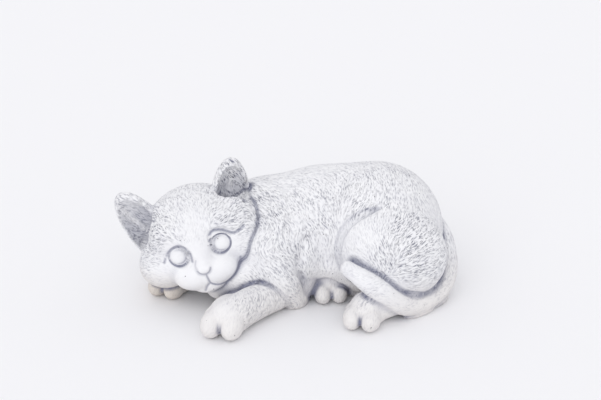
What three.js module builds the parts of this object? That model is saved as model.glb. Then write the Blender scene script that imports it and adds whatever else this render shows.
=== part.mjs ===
// A small cast stone cat, lying curled with its chin over one forepaw and its tail laid over a hind foot.
// The figure is one solid casting. It is modelled as a field of rounded forms that run into each other,
// which is skinned with triangles, refined on the head and thinned to the faces that the shape needs.
// Millimetres, +Z up, the cat's face towards -Y, its head at -X, and its flat underside on Z = 0.
import * as THREE from 'three';

// driving sizes
const figureLength = 240; // from the tip of the outer ear to the bend of the tail
const eyeSpacing = 30.4;
const eyeRadius = 10.4;
const eyeGroove = 1.5;
const eyeGrooveDepth = 1.6;
const earLength = 37;
const earHalfWidth = 15.5;
const earWall = 3;
const noseHalfWidth = 5;
const legRadius = 12.5;
const leftForeToe = 7.6;
const rightForeToe = 6.8;
const leftHindToe = 6.7;
const rightHindToe = 6.2;
const tailRadius = 7.4;
const tailTipRadius = 5.4;
const foldWidth = 3.6; // the soft folds of the coat
const foldDepth = 2;

// The pose and proportions are drawn for a figure of this length, and grow with its length.
const drawnLength = 240;
const share = figureLength / drawnLength;
const drawn = (size) => size / share;

// how finely it is skinned
const bodyCell = 0.01 * figureLength;
const headEdge = 0.625 * bodyCell; // edges on the head are no longer than this before thinning
const faceCount = 9000;

const toRadians = THREE.MathUtils.degToRad;

// The language of forms: each is a function of a point that is below zero inside.
function ball([cx, cy, cz], [rx, ry, rz]) {
  return (x, y, z) => {
    const ax = (x - cx) / rx;
    const ay = (y - cy) / ry;
    const az = (z - cz) / rz;
    const near = Math.sqrt(ax * ax + ay * ay + az * az);
    if (near < 1e-6) return -Math.min(rx, ry, rz);
    const bx = ax / rx;
    const by = ay / ry;
    const bz = az / rz;
    return (near * (near - 1)) / Math.sqrt(bx * bx + by * by + bz * bz);
  };
}

// A round limb along a smooth line, with a radius given at each point of the line.
function limb(points, radii, steps = 14) {
  const line = new THREE.CatmullRomCurve3(points.map((p) => new THREE.Vector3(...p)), false, 'centripetal');
  const girth = new THREE.SplineCurve(radii.map((r, i) => new THREE.Vector2(i / (radii.length - 1), r)));
  const at = [];
  for (let i = 0; i <= steps; i += 1) {
    const p = line.getPoint(i / steps);
    at.push([p.x, p.y, p.z, girth.getPoint(i / steps).y]);
  }
  const hold = new THREE.Sphere().setFromPoints(at.map((p) => new THREE.Vector3(p[0], p[1], p[2])));
  const reach = hold.radius + Math.max(...at.map((p) => p[3]));
  return (x, y, z) => {
    const far = Math.hypot(x - hold.center.x, y - hold.center.y, z - hold.center.z) - reach;
    if (far > 25) return far;
    let least = Infinity;
    for (let i = 0; i < steps; i += 1) {
      const [ax, ay, az, ar] = at[i];
      const [bx, by, bz, br] = at[i + 1];
      const ux = bx - ax;
      const uy = by - ay;
      const uz = bz - az;
      const along = ((x - ax) * ux + (y - ay) * uy + (z - az) * uz) / (ux * ux + uy * uy + uz * uz);
      const t = Math.min(Math.max(along, 0), 1);
      const dx = x - ax - t * ux;
      const dy = y - ay - t * uy;
      const dz = z - az - t * uz;
      least = Math.min(least, Math.sqrt(dx * dx + dy * dy + dz * dz) - ar - t * (br - ar));
    }
    return least;
  };
}

function meld(a, b, soft) {
  const h = Math.max(soft - Math.abs(a - b), 0) / soft;
  return Math.min(a, b) - h * h * soft * 0.25;
}

// Two distances joined, with a furrow pressed along the line where the two forms meet.
const creased = (a, b, soft, width, depth) => (
  meld(a, b, soft) + depth * Math.exp(-(a * a + b * b) / (width * width))
);

// Forms that run into each other with a fillet of about the given softness.
const joined = (soft, ...forms) => (x, y, z) => {
  let d = forms[0](x, y, z);
  for (let i = 1; i < forms.length; i += 1) d = meld(d, forms[i](x, y, z), soft);
  return d;
};
const hollowed = (soft, form, tool) => (x, y, z) => -meld(-form(x, y, z), tool(x, y, z), soft);
const mirrored = (make) => [make(-1), make(1)];

// Well outside its hull sphere a form is only as near as the sphere is.
const hulled = (form, [cx, cy, cz], radius) => (x, y, z) => {
  const far = Math.hypot(x - cx, y - cy, z - cz) - radius;
  return far > 12 ? far : form(x, y, z);
};

// A form made in its own frame, then turned (pitch, roll, yaw in degrees) and put in place.
function placed(form, place, [pitch, roll, yaw]) {
  const turn = new THREE.Euler(toRadians(pitch), toRadians(roll), toRadians(yaw), 'ZXY');
  const e = new THREE.Matrix4().makeRotationFromEuler(turn).setPosition(...place).invert().elements;
  return (x, y, z) => form(
    e[0] * x + e[4] * y + e[8] * z + e[12],
    e[1] * x + e[5] * y + e[9] * z + e[13],
    e[2] * x + e[6] * y + e[10] * z + e[14],
  );
}

// A line drawn on the front of a form, given across and up, and found by going in along +Y.
function drawnOn(form, line) {
  return line.map(([x, z]) => {
    let y = -100;
    for (let i = 0; i < 200 && form(x, y, z) > 0.05; i += 1) y += Math.max(form(x, y, z) * 0.7, 0.05);
    return [x, y, z];
  });
}

// A groove pressed along a line on a form, or with a depth below zero a ridge.
function grooved(form, line, width, depth, steps = 12) {
  const path = limb(line, line.map(() => 0), steps);
  return (x, y, z) => {
    const d = form(x, y, z);
    if (Math.abs(d) > 10) return d;
    const near = path(x, y, z) / width;
    return near > 3 ? d : d + depth * Math.exp(-near * near);
  };
}

// The head in its own frame: x to the cat's left, y to the back of the head, z to the crown.
const headPlace = [-64.5, 8, 46];
const headTurn = [-12, -16.8, 4.2];
const eyeCentre = (s) => [(s * drawn(eyeSpacing)) / 2, -21.8, -4];
const eyeRing = 6.9;

const skull = ball([0, 3, 3], [37, 37, 33]);
const cheeks = mirrored((s) => ball([s * 25, -6, -11], [21, 22, 18]));
const brows = mirrored((s) => ball([s * 15, -22, 11.5], [14, 9, 8]));
const muzzle = ball([0, -25, -20], [18, 13, 13]);
const puffs = mirrored((s) => ball([s * 9.5, -28.5, -20.5], [12, 10, 9]));
const bridge = limb([[0, -28, 6], [0, -33, -5], [0, -36, -12]], [9, 7.2, 5.2]);
const nose = ball([0, -39.4, -15.5], [drawn(noseHalfWidth), 2.8, 3]);
const chin = ball([0, -28, -30.5], [10, 7, 5]);
const jowl = ball([31, -8, 0], [17, 20, 25]); // fuller on the cat's left, where the neck pushes it forward
const eyes = mirrored((s) => ball(eyeCentre(s), [drawn(eyeRadius), drawn(eyeRadius), drawn(eyeRadius)]));

const headMass = joined(9, skull, ...cheeks, muzzle, ...brows, jowl);
const muzzled = joined(2.5, joined(6, headMass, bridge, ...puffs), chin);
const faced = joined(1, muzzled, nose, ...eyes);

function ringed(form, s) {
  const [cx, , cz] = eyeCentre(s);
  const width = drawn(eyeGroove);
  const [[, cy]] = drawnOn(muzzled, [[cx, cz]]);
  return (x, y, z) => {
    const near = Math.hypot(Math.hypot(x - cx, z - cz) - eyeRing, (y - cy) / 3) / width;
    return near > 3 ? form(x, y, z) : form(x, y, z) + drawn(eyeGrooveDepth) * Math.exp(-near * near);
  };
}

const philtrum = [[0, -18], [0, -25.7]];
const smile = (s) => [
  [0, -25.7], [s * 4.5, -28.6], [s * 9, -29.8], [s * 15, -28.8], [s * 21, -25], [s * 24, -21],
];
const wing = (s) => [[s * 4, -9], [s * 5.6, -14], [s * 4, -17.4], [0, -19]];
const lid = (s) => [[s * 7.4, -1], [s * 10.5, 3.4], [s * 15.5, 5], [s * 20.5, 3], [s * 24, -1.6]];
const lidFold = (s) => [
  [s * 7.8, 3], [s * 10, 6], [s * 14, 7.2], [s * 19, 6], [s * 25, 2], [s * 29, 1.6],
];

let face = ringed(ringed(faced, -1), 1);
face = grooved(face, drawnOn(faced, philtrum), 1.2, 1.4, 4);
for (const s of [-1, 1]) {
  face = grooved(face, drawnOn(faced, smile(s)), 1.3, 1.6);
  face = grooved(face, drawnOn(faced, wing(s)), 1.1, 0.8);
  face = grooved(face, drawnOn(muzzled, lid(s)), 1.7, -1.2);
  face = grooved(face, drawnOn(muzzled, lidFold(s)), 1.4, 1.1);
}

// An ear on the head. Its cup is cut into the head as well, down to its foot.
const cupFoot = 9;
function eared(form, place, [pitch, roll, yaw]) {
  const cupHalf = drawn(earLength - earWall) - cupFoot;
  const shell = ball([0, 1, 0], [drawn(earHalfWidth), 9, drawn(earLength)]);
  const cup = ball([0, -7, cupFoot], [drawn(earHalfWidth - earWall), 10, cupHalf]);
  const turn = [pitch, roll, yaw];
  return hollowed(2, joined(3, form, placed(shell, place, turn)), placed(cup, place, turn));
}
const rightEared = eared(face, [-31.5, 4, 11], [12, -16, -14]);
const bothEared = eared(rightEared, [29, 2, 11], [12, 16, 14]);
const head = hulled(placed(bothEared, headPlace, headTurn), headPlace, 64);

// the body, in the statue's frame
const chest = ball([-8, 20, 36.5], [34, 36, 39]);
const nape = ball([-20, 30, 45], [27, 30, 33]);
const ribs = ball([25, 27, 43], [47, 39, 46.3]);
const rump = ball([64, 20, 45], [48, 45, 49.3]);
const throat = ball([-50, 32, 22], [30, 19, 26]);
const torso = joined(16, chest, nape, ribs, rump, throat);
const seat = ball([92, -1, 3], [25, 21, 12]); // closes the hollow between the haunch and the tail
const dock = ball([100, 12, 14], [14, 18, 17]); // and the one between the rump and the tail's root

const shoulder = ball([-2, -3, 36], [23, 17, 33]);
const elbow = ball([4, -4, 13], [14, 13, 16]);
const haunch = placed(ball([0, 0, 0], [39, 24.5, 33]), [74, -14.5, 43], [0, 20, 0]);
const ruff = limb([[-11, -1, 46], [-15, -10, 34], [-32, -13, 24], [-47, -12, 18]], [15, 14, 13.5, 12]);
const mane = limb([[-14, -12, 46], [-9, -18, 34], [-2, -19, 21], [4, -14, 9]], [13, 12, 11, 10]);

const bellyFold = [[37, 88], [31, 75], [27, 61], [26, 48], [28, 36]];
const elbowFold = [[13, 52], [9.5, 38], [9, 25], [12, 13]];
const shoulderFold = [[0, 82], [3, 70], [2, 58]];
const neckFold = [[-17.5, 84], [-12.6, 75.7], [-11.2, 66], [-12.6, 56], [-17.5, 46], [-22, 38]];

// Below the given height the form drops straight down, as the foot of a casting does.
const footed = (height, form) => (x, y, z) => form(x, y, Math.max(z, height));

const smooth = footed(6, joined(7, torso, shoulder, elbow, seat, dock));
const folded = (form, line, wider, deeper) => grooved(
  form,
  drawnOn(smooth, line),
  drawn(foldWidth * wider),
  drawn(foldDepth * deeper),
);
let coat = folded(smooth, bellyFold, 1.3, 2.3);
coat = folded(coat, shoulderFold, 1.2, 1.1);
coat = folded(coat, elbowFold, 1, 1.9);
coat = folded(coat, neckFold, 1, 1.6);

// A foot on the ground: two big toes in front, a small one at each side, and the back of the foot.
function paw([px, py], heading, toeRadius) {
  const r = drawn(toeRadius);
  const bigToes = mirrored((s) => ball([s * 0.94 * r, -0.3 * r, 1.15 * r], [1.04 * r, 1.6 * r, 1.2 * r]));
  const smallToes = mirrored((s) => ball([s * 1.42 * r, 1.1 * r, 1.05 * r], [0.7 * r, 1.3 * r, 0.88 * r]));
  const back = ball([0, 1.5 * r, 1.35 * r], [1.75 * r, 2.5 * r, 1.55 * r]);
  const foot = joined(0.2 * r, back, ...smallToes, ...bigToes);
  return hulled(placed(foot, [px, py, 0], [0, 0, heading]), [px, py, r], 5 * r);
}

// A leg laid on the ground: its line, its girth in shares of the leg's radius, and its foot.
function leg(line, girth, foot) {
  return joined(3, limb(line, girth.map((g) => g * drawn(legRadius))), foot);
}
const leftFore = leg(
  [[8, -2, 14], [-18, -27, 13], [-34, -45, 12.5], [-40, -51, 12.5]],
  [1.12, 1, 1, 0.95],
  paw([-43.5, -54], -14, leftForeToe),
);
const rightFore = leg(
  [[-35, 45, 16], [-62, 40, 13], [-84, 27, 15], [-91, 13, 17]],
  [1.2, 1.04, 0.9, 0.84],
  paw([-86, 4], -25, rightForeToe),
);
const leftHind = leg(
  [[82, -22, 14], [66, -32, 13], [56, -37, 12]],
  [0.96, 0.96, 0.92],
  paw([52.5, -43.5], -15, leftHindToe),
);
const rightHind = leg(
  [[40, 18, 16], [33, 6, 14], [31, 0, 14]],
  [1.12, 0.96, 0.84],
  paw([30.5, -5], 8, rightHindToe),
);
const legs = [leftFore, rightFore, leftHind, rightHind];
const tailLine = [
  [103, 30, 50], [112.5, 22, 37], [115.6, 8, 20], [109, -8, 11],
  [90, -27, 8.5], [75, -36, 16], [59.5, -39.5, 30.5], [42, -38, 42.5],
];
const tailGirth = [1, 1, 1, 1, 1.03, 1.1, 1.12].map((g) => g * drawn(tailRadius));
const tailSteps = 28;
const tail = footed(3, limb(tailLine, [...tailGirth, drawn(tailTipRadius)], tailSteps));

function figure(x, y, z) {
  const haunchFurrow = 2.6 - 1.8 * THREE.MathUtils.smoothstep(x, 50, 82); // it fades towards the rump
  let d = creased(coat(x, y, z), haunch(x, y, z), 4, 3.2, haunchFurrow);
  d = meld(d, meld(ruff(x, y, z), mane(x, y, z), 8), 8);
  d = creased(d, head(x, y, z), 2.5, 2.6, 1);
  for (const limbed of legs) d = meld(d, limbed(x, y, z), 3);
  return meld(d, tail(x, y, z), 6);
}

// The statue at its real size, cut flat where it stands.
const statue = (x, y, z) => (
  z < -bodyCell ? -z : Math.max(share * figure(x / share, y / share, z / share), -z)
);
const headMiddle = new THREE.Vector3(-66, 2, 52).multiplyScalar(share);
const headReach = 56 * share;
const nearHead = (x, y, z) => (
  Math.hypot(x - headMiddle.x, y - headMiddle.y, z - headMiddle.z) < headReach
);

// The skin of a field by marching tetrahedra, which always closes.
const corners = [[0, 0, 0], [1, 0, 0], [0, 1, 0], [1, 1, 0], [0, 0, 1], [1, 0, 1], [0, 1, 1], [1, 1, 1]];
const tetrahedra = [[0, 1, 3, 7], [0, 3, 2, 7], [0, 2, 6, 7], [0, 6, 4, 7], [0, 4, 5, 7], [0, 5, 1, 7]];

function sampled(field, low, size, cell) {
  const values = new Float64Array(size[0] * size[1] * size[2]);
  const block = 4;
  const at = (i, j, k) => field(low[0] + i * cell, low[1] + j * cell, low[2] + k * cell);
  for (let k = 0; k < size[2]; k += block) {
    for (let j = 0; j < size[1]; j += block) {
      for (let i = 0; i < size[0]; i += block) {
        const middle = at(i + block / 2, j + block / 2, k + block / 2);
        const far = Math.abs(middle) > cell * block * 1.6; // then one sample stands for its whole block
        for (let c = k; c < Math.min(k + block, size[2]); c += 1) {
          for (let b = j; b < Math.min(j + block, size[1]); b += 1) {
            for (let a = i; a < Math.min(i + block, size[0]); a += 1) {
              values[a + size[0] * (b + size[1] * c)] = far ? middle : at(a, b, c);
            }
          }
        }
      }
    }
  }
  return values;
}

function sixVolumes(p, a, b, c) {
  const [ax, ay, az] = [a[0] - p[0], a[1] - p[1], a[2] - p[2]];
  const [bx, by, bz] = [b[0] - p[0], b[1] - p[1], b[2] - p[2]];
  const [cx, cy, cz] = [c[0] - p[0], c[1] - p[1], c[2] - p[2]];
  return ax * (by * cz - bz * cy) + ay * (bz * cx - bx * cz) + az * (bx * cy - by * cx);
}

function skin(field, low, high, cell) {
  const size = [0, 1, 2].map((a) => Math.ceil((high[a] - low[a]) / cell) + 1);
  const values = sampled(field, low, size, cell);
  const offsets = corners.map(([a, b, c]) => a + size[0] * (b + size[1] * c));
  const place = (v) => {
    const row = Math.floor(v / size[0]);
    const rise = Math.floor(row / size[1]);
    return [low[0] + cell * (v % size[0]), low[1] + cell * (row % size[1]), low[2] + cell * rise];
  };
  const points = [];
  const faces = [];
  const known = new Map();
  const crossing = (inner, outer) => {
    const key = inner < outer ? inner * values.length + outer : outer * values.length + inner;
    if (!known.has(key)) {
      const t = Math.min(Math.max(values[inner] / (values[inner] - values[outer]), 0.02), 0.98);
      const from = place(inner);
      const to = place(outer);
      known.set(key, points.length);
      points.push(from.map((v, a) => v + t * (to[a] - v)));
    }
    return known.get(key);
  };
  const march = (ids) => {
    const inner = ids.filter((v) => values[v] < 0);
    const outer = ids.filter((v) => values[v] >= 0);
    if (!inner.length || !outer.length) return;
    const made = [];
    if (inner.length === 1) made.push(outer.map((v) => crossing(inner[0], v)));
    if (outer.length === 1) made.push(inner.map((v) => crossing(v, outer[0])));
    if (inner.length === 2) {
      const [ac, ad, bc, bd] = inner.flatMap((v) => outer.map((w) => crossing(v, w)));
      made.push([ac, ad, bd], [ac, bd, bc]);
    }
    const core = place(inner[0]);
    for (const [a, b, c] of made) {
      const outward = sixVolumes(core, points[a], points[b], points[c]) > 0;
      faces.push(outward ? [a, b, c] : [a, c, b]);
    }
  };
  for (let k = 0; k < size[2] - 1; k += 1) {
    for (let j = 0; j < size[1] - 1; j += 1) {
      for (let i = 0; i < size[0] - 1; i += 1) {
        const base = i + size[0] * (j + size[1] * k);
        let below = 0;
        for (const offset of offsets) below += values[base + offset] < 0 ? 1 : 0;
        if (below === 0 || below === 8) continue;
        for (const tetra of tetrahedra) march(tetra.map((c) => base + offsets[c]));
      }
    }
  }
  return { points, faces };
}

// Splits the long edges of a region.
function refined({ points, faces }, region, longest) {
  const middles = new Map();
  const long = (a, b) => {
    const [p, q] = [points[a], points[b]];
    const length = Math.hypot(p[0] - q[0], p[1] - q[1], p[2] - q[2]);
    return length > longest && (region(...p) || region(...q));
  };
  const middle = (a, b) => {
    const key = a < b ? a * 4e6 + b : b * 4e6 + a;
    if (!middles.has(key)) {
      middles.set(key, long(a, b) ? points.length : -1);
      if (long(a, b)) points.push(points[a].map((v, i) => (v + points[b][i]) / 2));
    }
    return middles.get(key);
  };
  const cutFaces = [];
  for (const face of faces) {
    const mids = face.map((v, i) => middle(v, face[(i + 1) % 3]));
    const count = mids.filter((m) => m >= 0).length;
    let first = 0;
    if (count === 1) first = mids.findIndex((m) => m >= 0);
    if (count === 2) first = (mids.findIndex((m) => m < 0) + 1) % 3;
    const [a, b, c] = [0, 1, 2].map((i) => face[(first + i) % 3]);
    const [ab, bc, ca] = [0, 1, 2].map((i) => mids[(first + i) % 3]);
    if (count === 0) cutFaces.push(face);
    if (count === 1) cutFaces.push([a, ab, c], [ab, b, c]);
    if (count === 2) cutFaces.push([a, ab, c], [ab, bc, c], [ab, b, bc]);
    if (count === 3) cutFaces.push([a, ab, ca], [ab, b, bc], [ca, bc, c], [ab, bc, ca]);
  }
  return { points, faces: cutFaces };
}

// Evens out the points, which also smooths the teeth along the creases, and puts them back on the field.
function relaxed({ points, faces }, field, rounds) {
  const loose = points.map((p) => p[2] > bodyCell / 2);
  for (let round = 0; round < rounds; round += 1) {
    const sums = new Float64Array(points.length * 4);
    for (const face of faces) {
      for (let i = 0; i < 3; i += 1) {
        const p = points[face[(i + 1) % 3]];
        const at = face[i] * 4;
        sums[at] += p[0];
        sums[at + 1] += p[1];
        sums[at + 2] += p[2];
        sums[at + 3] += 1;
      }
    }
    points.forEach((p, v) => {
      for (let a = 0; a < 3 && loose[v]; a += 1) p[a] += 0.6 * (sums[v * 4 + a] / sums[v * 4 + 3] - p[a]);
    });
  }
  const h = bodyCell / 48;
  const longest = bodyCell / 3;
  points.forEach((p, v) => {
    if (!loose[v]) return;
    let d = field(...p);
    const alongX = field(p[0] + h, p[1], p[2]) - d;
    const alongY = field(p[0], p[1] + h, p[2]) - d;
    const alongZ = field(p[0], p[1], p[2] + h) - d;
    const slope = [alongX, alongY, alongZ];
    const steep = Math.max((alongX ** 2 + alongY ** 2 + alongZ ** 2) / h, 0.3 * h);
    for (let i = 0; i < 2; i += 1) {
      const step = Math.max(Math.min(d, longest), -longest) / steep;
      for (let a = 0; a < 3; a += 1) p[a] -= step * slope[a];
      if (i === 0) d = field(...p);
    }
  });
  return { points, faces };
}

const cross = (p, q, r) => {
  const [ux, uy, uz] = [q[0] - p[0], q[1] - p[1], q[2] - p[2]];
  const [vx, vy, vz] = [r[0] - p[0], r[1] - p[1], r[2] - p[2]];
  return [uy * vz - uz * vy, uz * vx - ux * vz, ux * vy - uy * vx];
};

// Where two points meet with the least quadric error q. A point on the base stays on it.
function meetingPlace(q, a, b) {
  if ((a[2] === 0) !== (b[2] === 0)) return a[2] === 0 ? a.slice() : b.slice();
  const middle = [(a[0] + b[0]) / 2, (a[1] + b[1]) / 2, (a[2] + b[2]) / 2];
  const pull = 1e-3 * (q[0] + q[4] + q[7]) + 1e-9; // towards the middle, which steadies flat stretches
  const [m0, m4, m7] = [q[0] + pull, q[4] + pull, q[7] + pull];
  const [r0, r1, r2] = [pull * middle[0] - q[3], pull * middle[1] - q[6], pull * middle[2] - q[8]];
  const c0 = m4 * m7 - q[5] * q[5];
  const c1 = q[2] * q[5] - q[1] * m7;
  const c2 = q[1] * q[5] - q[2] * m4;
  const c4 = m0 * m7 - q[2] * q[2];
  const c5 = q[1] * q[2] - m0 * q[5];
  const c7 = m0 * m4 - q[1] * q[1];
  const det = m0 * c0 + q[1] * c1 + q[2] * c2;
  const found = [
    (c0 * r0 + c1 * r1 + c2 * r2) / det,
    (c1 * r0 + c4 * r1 + c5 * r2) / det,
    (c2 * r0 + c5 * r1 + c7 * r2) / det,
  ];
  const apart = Math.hypot(a[0] - b[0], a[1] - b[1], a[2] - b[2]);
  const off = Math.hypot(found[0] - middle[0], found[1] - middle[1], found[2] - middle[2]);
  const chosen = off < apart * 1.5 ? found : middle;
  chosen[2] = a[2] === 0 ? 0 : Math.max(chosen[2], 0.05);
  return chosen;
}

// The quadric of each point: the planes of its faces, weighted by their areas.
function quadricsOf(points, faces) {
  const quadrics = points.map(() => new Float64Array(10));
  for (const face of faces) {
    const n = cross(...face.map((v) => points[v]));
    const size = Math.hypot(...n) || 1e-12;
    const [x, y, z] = [n[0] / size, n[1] / size, n[2] / size];
    const p = points[face[0]];
    const w = -(x * p[0] + y * p[1] + z * p[2]);
    const plane = [x * x, x * y, x * z, x * w, y * y, y * z, y * w, z * z, z * w, w * w];
    for (const v of face) for (let i = 0; i < 10; i += 1) quadrics[v][i] += plane[i] * size;
  }
  return quadrics;
}

const errorAt = (q, [x, y, z]) => q[0] * x * x + 2 * q[1] * x * y + 2 * q[2] * x * z + 2 * q[3] * x
  + q[4] * y * y + 2 * q[5] * y * z + 2 * q[6] * y + q[7] * z * z + 2 * q[8] * z + q[9];

// A heap that gives back the cheapest of its items first.
class Heap {
  constructor() {
    this.items = [];
  }

  push(item) {
    const { items } = this;
    let i = items.push(item) - 1;
    while (i > 0) {
      const up = (i - 1) >> 1;
      if (items[up].cost <= item.cost) break;
      items[i] = items[up];
      i = up;
    }
    items[i] = item;
  }

  pop() {
    const { items } = this;
    const [top] = items;
    const last = items.pop();
    if (!items.length) return top;
    let i = 0;
    for (let down = 1; down < items.length; down = 2 * i + 1) {
      if (down + 1 < items.length && items[down + 1].cost < items[down].cost) down += 1;
      if (items[down].cost >= last.cost) break;
      items[i] = items[down];
      i = down;
    }
    items[i] = last;
    return top;
  }
}

// Thins a closed mesh: the edges that matter least are drawn together first.
function thinned({ points, faces }, target, care) {
  const quadrics = quadricsOf(points, faces);
  const around = points.map(() => []);
  const stamps = new Int32Array(points.length);
  faces.forEach((face, f) => face.forEach((v) => around[v].push(f)));
  const heap = new Heap();
  const sum = new Float64Array(10);
  const offer = (a, b) => {
    for (let i = 0; i < 10; i += 1) sum[i] = quadrics[a][i] + quadrics[b][i];
    const at = meetingPlace(sum, points[a], points[b]);
    const cost = Math.max(errorAt(sum, at), 0) * care(...at);
    heap.push({ a, b, at, cost, stamp: stamps[a] + stamps[b] });
  };
  const neighbours = (v) => {
    const near = [];
    for (const f of around[v]) for (const w of faces[f]) if (w !== v && !near.includes(w)) near.push(w);
    return near;
  };
  const folds = (v, other, at) => around[v].some((f) => {
    const face = faces[f];
    if (face.includes(other)) return false;
    const [p, q, r] = [points[face[0]], points[face[1]], points[face[2]]];
    const m = cross(p, q, r);
    const n = cross(face[0] === v ? at : p, face[1] === v ? at : q, face[2] === v ? at : r);
    const after = Math.hypot(n[0], n[1], n[2]);
    const level = m[0] * n[0] + m[1] * n[1] + m[2] * n[2];
    return after < 0.02 || level < 0.3 * after * Math.hypot(m[0], m[1], m[2]);
  });
  for (const [a, b, c] of faces) {
    if (a < b) offer(a, b);
    if (b < c) offer(b, c);
    if (c < a) offer(c, a);
  }
  let left = faces.length;
  while (left > target && heap.items.length) {
    const { a, b, at, stamp } = heap.pop();
    if (!around[a].length || !around[b].length || stamp !== stamps[a] + stamps[b]) continue;
    const nearA = neighbours(a);
    const shared = neighbours(b).filter((v) => nearA.includes(v));
    if (shared.length !== 2 || folds(a, b, at) || folds(b, a, at)) continue;
    points[a] = at;
    for (let i = 0; i < 10; i += 1) quadrics[a][i] += quadrics[b][i];
    for (const f of around[b]) {
      if (faces[f].includes(a)) {
        for (const v of faces[f]) around[v] = v === b ? around[v] : around[v].filter((g) => g !== f);
        faces[f] = null;
        left -= 1;
      } else {
        faces[f][faces[f].indexOf(b)] = a;
        around[a].push(f);
      }
    }
    around[b] = [];
    stamps[a] += 1e5;
    for (const v of neighbours(a)) offer(a, v);
  }
  return { points, faces: faces.filter((f) => f) };
}

// It is sampled in a box that starts half a cell below the ground, so that the ground cuts it halfway.
const low = [(-8 / 15) * figureLength, -0.35 * figureLength, -bodyCell / 2];
const high = [0.525 * figureLength, (19 / 60) * figureLength, 0.475 * figureLength];
let mesh = skin(statue, low, high, bodyCell);
for (const p of mesh.points) if (p[2] < 0.001) p[2] = 0;
mesh = refined(mesh, nearHead, headEdge);
mesh = relaxed(mesh, statue, 2);
mesh = thinned(mesh, faceCount, (x, y, z) => (nearHead(x, y, z) ? 4 : 1));

const geometry = new THREE.BufferGeometry();
const places = mesh.faces.flat().flatMap((v) => mesh.points[v]);
geometry.setAttribute('position', new THREE.Float32BufferAttribute(places, 3));
geometry.computeVertexNormals();
geometry.computeBoundingBox();
const middle = geometry.boundingBox.getCenter(new THREE.Vector3());
geometry.translate(-middle.x, -middle.y, 0); // the origin is under the middle of the statue

const stone = new THREE.MeshStandardMaterial({ color: 0xe4e4ea, roughness: 0.85, metalness: 0 });
const cat = new THREE.Mesh(geometry, stone);
cat.name = 'cat';
const group = new THREE.Group();
group.add(cat);
export default group;
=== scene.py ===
import math

import bmesh
import bpy
import numpy as np
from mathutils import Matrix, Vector


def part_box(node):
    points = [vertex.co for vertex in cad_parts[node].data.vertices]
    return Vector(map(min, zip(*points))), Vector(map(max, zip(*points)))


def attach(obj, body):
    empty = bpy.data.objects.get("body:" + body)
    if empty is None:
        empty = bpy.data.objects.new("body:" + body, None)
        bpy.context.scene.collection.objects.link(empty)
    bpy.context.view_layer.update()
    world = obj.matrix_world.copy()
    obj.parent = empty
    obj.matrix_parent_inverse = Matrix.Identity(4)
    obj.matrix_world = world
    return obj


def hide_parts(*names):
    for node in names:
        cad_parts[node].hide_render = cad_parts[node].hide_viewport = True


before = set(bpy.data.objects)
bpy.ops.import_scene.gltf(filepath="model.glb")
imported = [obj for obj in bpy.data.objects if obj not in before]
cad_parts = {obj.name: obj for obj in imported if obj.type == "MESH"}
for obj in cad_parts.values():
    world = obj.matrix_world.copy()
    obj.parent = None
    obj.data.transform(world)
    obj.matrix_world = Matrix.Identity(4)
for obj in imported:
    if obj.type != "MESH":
        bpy.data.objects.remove(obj)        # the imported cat, one solid on the body "root"

bl_info = {
    "name": "Cast stone cat",
    "version": (1, 0, 0),
    "blender": (4, 5, 0),
    "location": "View3D > Sidebar > Stone Cat",
    "description": "Carves and finishes a small cast stone cat and sets its studio",
    "category": "Object",
}

MM = 0.001
BODY = "root"
NODE = "cat"
DRAWING_MIDDLE = np.array([0.237, -3.396, 0.0])  # the frame's origin, in the drawing

# driving sizes of the figure
EYE_SPACING = 30.4
EYE_RADIUS = 6.5
EYE_BULGE = 5
EYE_RING = 7.0
EYES_MIDDLE = (0.8, -26.9, -3.8)
RING_DEPTH = 1.3
RING_WIDTH = 0.7
RING_REACH = 12  # the ring's groove reaches this many times as far in and out as it does across
SOCKET_RADIUS = EYE_RING + 0.8
SOCKET_DEPTH = 8
SOCKET_OUT = 8.8  # how far in front of the eye the ball is that cuts its socket
LID_RADIUS = 7.9
LID_TURNS = (155, 120, 90, 60, 25)  # in degrees, round the eye's middle
EAR_LENGTH = 37
EAR_HALF_WIDTH = 15.5
EAR_WALL = 3
CUP_FOOT = 9
NOSE_HALF_WIDTH = 5
LEG_RADIUS = 12.5
LEFT_FORE_TOE = 7.6
RIGHT_FORE_TOE = 6.8
LEFT_HIND_TOE = 6.7
RIGHT_HIND_TOE = 6.2
TAIL_RADIUS = 7.4
TAIL_TIP_RADIUS = 5.4
FOLD_WIDTH = 3.6
FOLD_DEPTH = 2
HEAD_PLACE = (-64.5, 8, 46)
HEAD_TURN = (-12, -16.8, 4.2)  # pitch, roll and yaw in degrees


# The language of forms: each takes points, one a row, and gives a distance that is below zero inside.
def ball(centre, radii):
    centre = np.array(centre, float)
    radii = np.array(radii, float)

    def form(p):
        a = (p - centre) / radii
        near = np.linalg.norm(a, axis=1)
        steep = np.linalg.norm(a / radii, axis=1)
        return near * (near - 1) / np.maximum(steep, 1e-9)

    return form


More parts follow.
